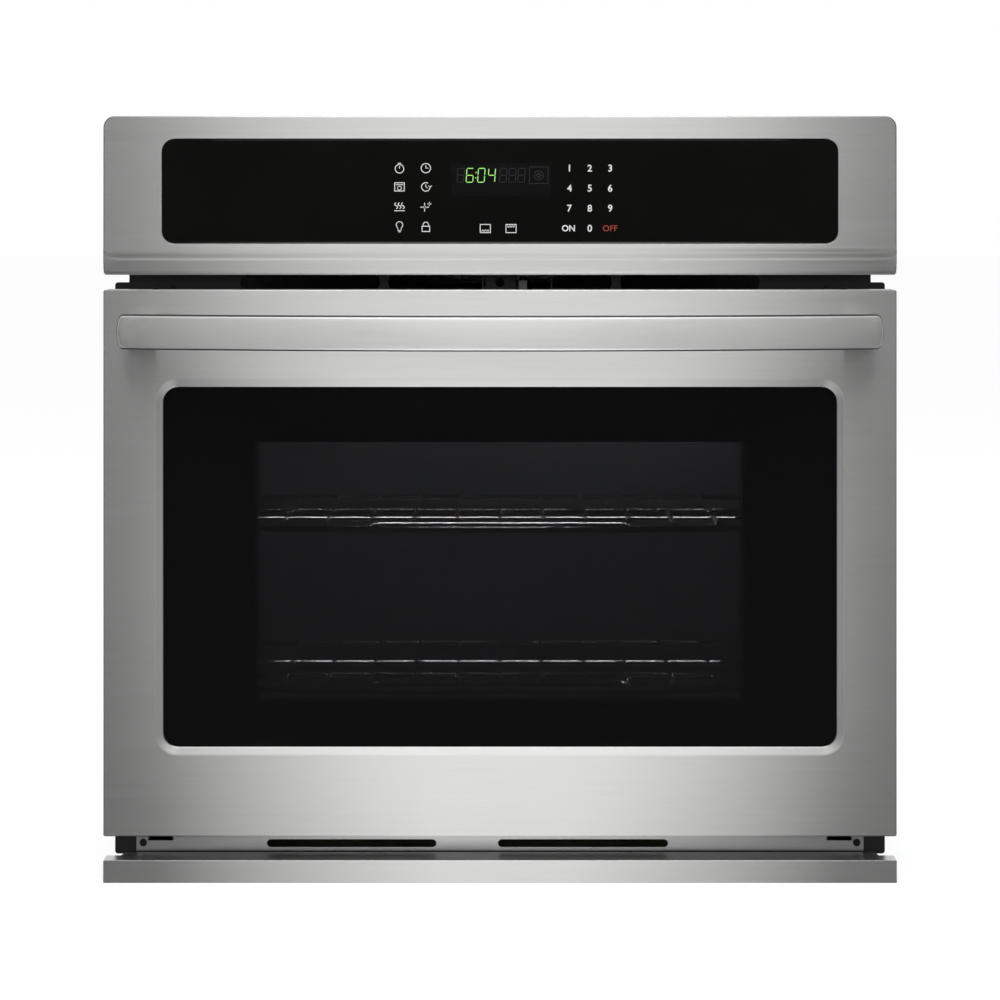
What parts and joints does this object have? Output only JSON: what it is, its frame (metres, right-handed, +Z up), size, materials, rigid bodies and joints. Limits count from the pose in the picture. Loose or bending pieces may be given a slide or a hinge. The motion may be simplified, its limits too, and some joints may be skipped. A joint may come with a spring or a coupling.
{
  "type": "built-in wall oven",
  "caption": "Built-in electric wall oven with a drop-down door, bowed handle, touch control panel, wire racks, cooling blower and self-clean latch.",
  "frame": {"origin": "centre of the bounding box's bottom face, on the shelf plane the oven stands on", "axes": "+X to the right seen from the front, +Y into the cabinet, +Z up; the door faces -Y"},
  "size_m": [0.762, 0.6969, 0.7366],
  "materials": {
    "stainless": "horizontal brushed grain",
    "rail_stainless": "satin",
    "black_enamel": "satin black",
    "galvanised": "spangled zinc",
    "cavity_enamel": "dark blue-grey porcelain enamel with light speckle",
    "insulation": "mineral wool blanket",
    "gasket": "woven glass fibre rope",
    "element": "oxidised sheath",
    "plain_steel": "zinc plated",
    "wire": "dull nickel plate",
    "ceramic": "unglazed",
    "bulb_glass": "clear",
    "clear_glass": "clear",
    "black_glass": "black printed back, clear middle",
    "motor_steel": "lacquered laminations",
    "blower_steel": "mill finish",
    "white_plastic": "moulded",
    "black_plastic": "moulded",
    "board": "solder mask",
    "display": "smoked"
  },
  "bodies": {
    "chassis": {"chassis_rails": "galvanised", "base_pan": "galvanised", "side_panels": "galvanised", "back_cover": "galvanised", "top_cover": "galvanised", "front_frame": "black_enamel", "control_bulkhead": "galvanised", "cavity_liner": "cavity_enamel", "oven_insulation": "insulation", "door_gasket": "gasket", "broil_element": "element", "bake_element": "element", "element_clips": "plain_steel", "lamp_holder": "ceramic", "lamp_bulb": "bulb_glass", "lamp_lens": "clear_glass", "temperature_sensor": "plain_steel", "vent_tube": "galvanised", "air_duct": "galvanised", "blower_housing": "blower_steel", "blower_motor": "motor_steel", "electronics_tray": "galvanised", "power_board": "board", "terminal_block": "white_plastic", "conduit_plate": "galvanised", "latch_bracket": "galvanised", "latch_motor": "black_plastic", "door_switch": "black_plastic", "hinge_receivers": "plain_steel", "hinge_arms": "plain_steel", "vent_trim": "black_enamel", "lower_rail": "rail_stainless", "bottom_trim": "stainless", "control_bezel": "stainless", "control_glass": "black_glass", "control_housing": "black_plastic", "display_module": "display", "touch_panel": "black_plastic", "control_board": "board", "control_brackets": "galvanised", "chassis_screws": "plain_steel"},
    "door": {"door_skin": "stainless", "door_glass": "black_glass", "glass_retainers": "galvanised", "window_pack_frame": "galvanised", "door_inner_panes": "clear_glass", "door_liner": "cavity_enamel", "door_insulation": "insulation", "handle_bar": "stainless", "handle_mounts": "plain_steel", "hinge_channels": "galvanised", "hinge_pins": "plain_steel", "hinge_springs": "plain_steel", "door_screws": "plain_steel"},
    "blower_wheel": {"blower_wheel": "blower_steel"},
    "latch_cam": {"latch_cam": "white_plastic"},
    "latch_hook": {"latch_hook": "plain_steel"},
    "switch_plunger": {"switch_plunger": "white_plastic"},
    "upper_rack": {"upper_rack": "wire"},
    "lower_rack": {"lower_rack": "wire"}
  },
  "joints": [
    {"name": "door_hinge", "type": "hinge", "parent": "chassis", "child": "door", "pos_m": [0, -0.2465, 0.06], "axis": [1, 0, 0], "range_deg": [0, 90], "stiffness_Nm_per_rad": 12, "springref_deg": -20.05, "deforming": ["hinge_springs"]},
    {"name": "blower_spin", "type": "hinge", "parent": "chassis", "child": "blower_wheel", "pos_m": [0, 0.2275, 0.58], "axis": [0, 0, 1], "continuous": true},
    {"name": "latch_cam_turn", "type": "hinge", "parent": "chassis", "child": "latch_cam", "pos_m": [0.01687, -0.1635, 0.58], "axis": [0, 0, 1], "range_deg": [0, 180]},
    {"name": "latch_hook_turn", "type": "hinge", "parent": "chassis", "child": "latch_hook", "pos_m": [0.022, -0.1935, 0.575], "axis": [0, 0, 1], "range_deg": [0, 20.5]},
    {"name": "plunger_slide", "type": "slide", "parent": "chassis", "child": "switch_plunger", "axis": [0, -1, 0], "range_m": [0, 0.0065]},
    {"name": "upper_rack_slide", "type": "slide", "parent": "chassis", "child": "upper_rack", "axis": [0, -1, 0], "range_m": [0, 0.3]},
    {"name": "lower_rack_slide", "type": "slide", "parent": "chassis", "child": "lower_rack", "axis": [0, -1, 0], "range_m": [0, 0.2]}
  ],
  "couplings": [
    {"joint": "latch_hook_turn", "follows": "latch_cam_turn", "ratio": 0.1111},
    {"joint": "plunger_slide", "follows": "door_hinge", "m_per_rad": 0.0038},
    {"joint": "upper_rack_slide", "follows": "door_hinge", "m_per_rad": 0.19},
    {"joint": "lower_rack_slide", "follows": "door_hinge", "m_per_rad": 0.127}
  ]
}
